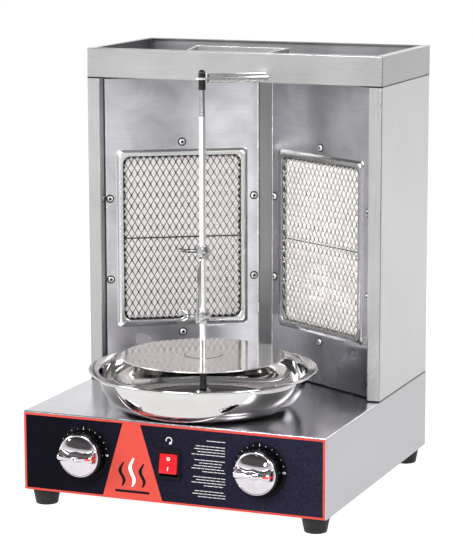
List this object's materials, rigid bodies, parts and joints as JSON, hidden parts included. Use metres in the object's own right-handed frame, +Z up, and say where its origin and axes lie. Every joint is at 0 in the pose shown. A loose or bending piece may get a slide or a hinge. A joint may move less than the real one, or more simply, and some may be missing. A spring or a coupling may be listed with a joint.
{
  "type": "gas vertical broiler",
  "caption": "Table-top gas vertical broiler with infrared burners in a V, a motor-driven upright spit with disc and sliding forks, a drip pan, and valve knobs and a rocker switch on the base.",
  "frame": {"origin": "on the floor, midway across the width and halfway from the front of the drip pan to the end of the gas inlet", "axes": "+X to the right as seen from the front, +Y from the controls to the back, +Z up along the spit"},
  "size_m": [0.4, 0.4646, 0.556],
  "materials": {
    "steel_brushed": "brushed",
    "steel_polished": "polished",
    "mesh_steel": "satin",
    "screw_steel": "satin",
    "ceramic": "matte, porous",
    "zinc_sheet": "zinc plated",
    "brass": "machined",
    "drive_steel": "turned",
    "motor_paint": "satin",
    "chrome": "plated",
    "black_gloss": "gloss",
    "black_matte": "matte",
    "red_plastic": "gloss",
    "front_film": "printed film",
    "rubber": "moulded"
  },
  "bodies": {
    "frame": {"base_housing": "steel_brushed", "base_bottom_plate": "steel_brushed", "base_back_panel": "steel_brushed", "column_back_panel": "steel_brushed", "crown_frame": "steel_brushed", "flue_collar": "steel_brushed", "corner_post": "steel_brushed", "left_side_panel": "steel_brushed", "right_side_panel": "steel_brushed", "left_burner_panel": "steel_brushed", "right_burner_panel": "steel_brushed", "left_window_frame": "steel_brushed", "right_window_frame": "steel_brushed", "support_arm": "steel_brushed", "left_burner_mesh": "mesh_steel", "right_burner_mesh": "mesh_steel", "left_burner_screws": "screw_steel", "right_burner_screws": "screw_steel", "cover_screws": "screw_steel", "foot_screws": "screw_steel", "left_ceramic_plaques": "ceramic", "right_ceramic_plaques": "ceramic", "left_burner_box": "zinc_sheet", "right_burner_box": "zinc_sheet", "left_venturi": "zinc_sheet", "right_venturi": "zinc_sheet", "gas_manifold": "zinc_sheet", "motor_bracket": "zinc_sheet", "left_gas_pipe": "zinc_sheet", "right_gas_pipe": "zinc_sheet", "left_gas_valve": "brass", "right_gas_valve": "brass", "gas_inlet": "brass", "shaft_bushing": "brass", "gear_motor": "motor_paint", "left_knob_bezel": "black_gloss", "right_knob_bezel": "black_gloss", "switch_housing": "black_matte", "cable_gland": "black_matte", "front_overlay": "front_film", "feet": "rubber"},
    "drive": {"drive_shaft": "drive_steel"},
    "spit": {"spit_rod": "steel_polished", "spit_tip": "black_matte", "spit_disc": "steel_polished"},
    "upper_fork": {"upper_fork": "steel_polished"},
    "lower_fork": {"lower_fork": "steel_polished"},
    "upper_screw": {"upper_thumb_screw": "steel_polished"},
    "lower_screw": {"lower_thumb_screw": "steel_polished"},
    "left_valve": {"left_valve_stem": "brass"},
    "right_valve": {"right_valve_stem": "brass"},
    "left_knob": {"left_knob": "black_gloss", "left_knob_cap": "chrome"},
    "right_knob": {"right_knob": "black_gloss", "right_knob_cap": "chrome"},
    "rocker": {"rocker": "red_plastic"},
    "pan": {"drip_pan": "steel_polished"}
  },
  "joints": [
    {"name": "spit_drive", "type": "hinge", "parent": "frame", "child": "drive", "pos_m": [0, -0.08875, 0.121], "axis": [0, 0, 1], "continuous": true},
    {"name": "spit_lift", "type": "slide", "parent": "drive", "child": "spit", "axis": [0, 0, 1], "range_m": [0, 0.04]},
    {"name": "upper_fork_slide", "type": "slide", "parent": "spit", "child": "upper_fork", "axis": [0, 0, 1], "range_m": [-0.008, 0.16]},
    {"name": "lower_fork_slide", "type": "slide", "parent": "spit", "child": "lower_fork", "axis": [0, 0, 1], "range_m": [-0.03, 0.008]},
    {"name": "upper_screw_turn", "type": "hinge", "parent": "upper_fork", "child": "upper_screw", "pos_m": [0, -0.08875, 0.3167], "axis": [-1, 0, 0], "range_deg": [0, 360]},
    {"name": "lower_screw_turn", "type": "hinge", "parent": "lower_fork", "child": "lower_screw", "pos_m": [0, -0.08875, 0.234], "axis": [-1, 0, 0], "range_deg": [0, 360]},
    {"name": "left_knob_turn", "type": "hinge", "parent": "frame", "child": "left_valve", "pos_m": [-0.116, -0.19175, 0.0745], "axis": [0, -1, 0], "range_deg": [0, 180]},
    {"name": "left_knob_push", "type": "slide", "parent": "left_valve", "child": "left_knob", "axis": [0, 1, 0], "range_m": [0, 0.004], "stiffness_N_per_m": 600},
    {"name": "right_knob_turn", "type": "hinge", "parent": "frame", "child": "right_valve", "pos_m": [0.116, -0.19175, 0.0745], "axis": [0, -1, 0], "range_deg": [0, 180]},
    {"name": "right_knob_push", "type": "slide", "parent": "right_valve", "child": "right_knob", "axis": [0, 1, 0], "range_m": [0, 0.004], "stiffness_N_per_m": 600},
    {"name": "rocker_tip", "type": "hinge", "parent": "frame", "child": "rocker", "pos_m": [-0.0025, -0.18825, 0.0705], "axis": [1, 0, 0], "range_deg": [0, 22]},
    {"name": "pan_lift", "type": "slide", "parent": "frame", "child": "pan", "axis": [0, 0, 1], "range_m": [0, 0.03]}
  ]
}
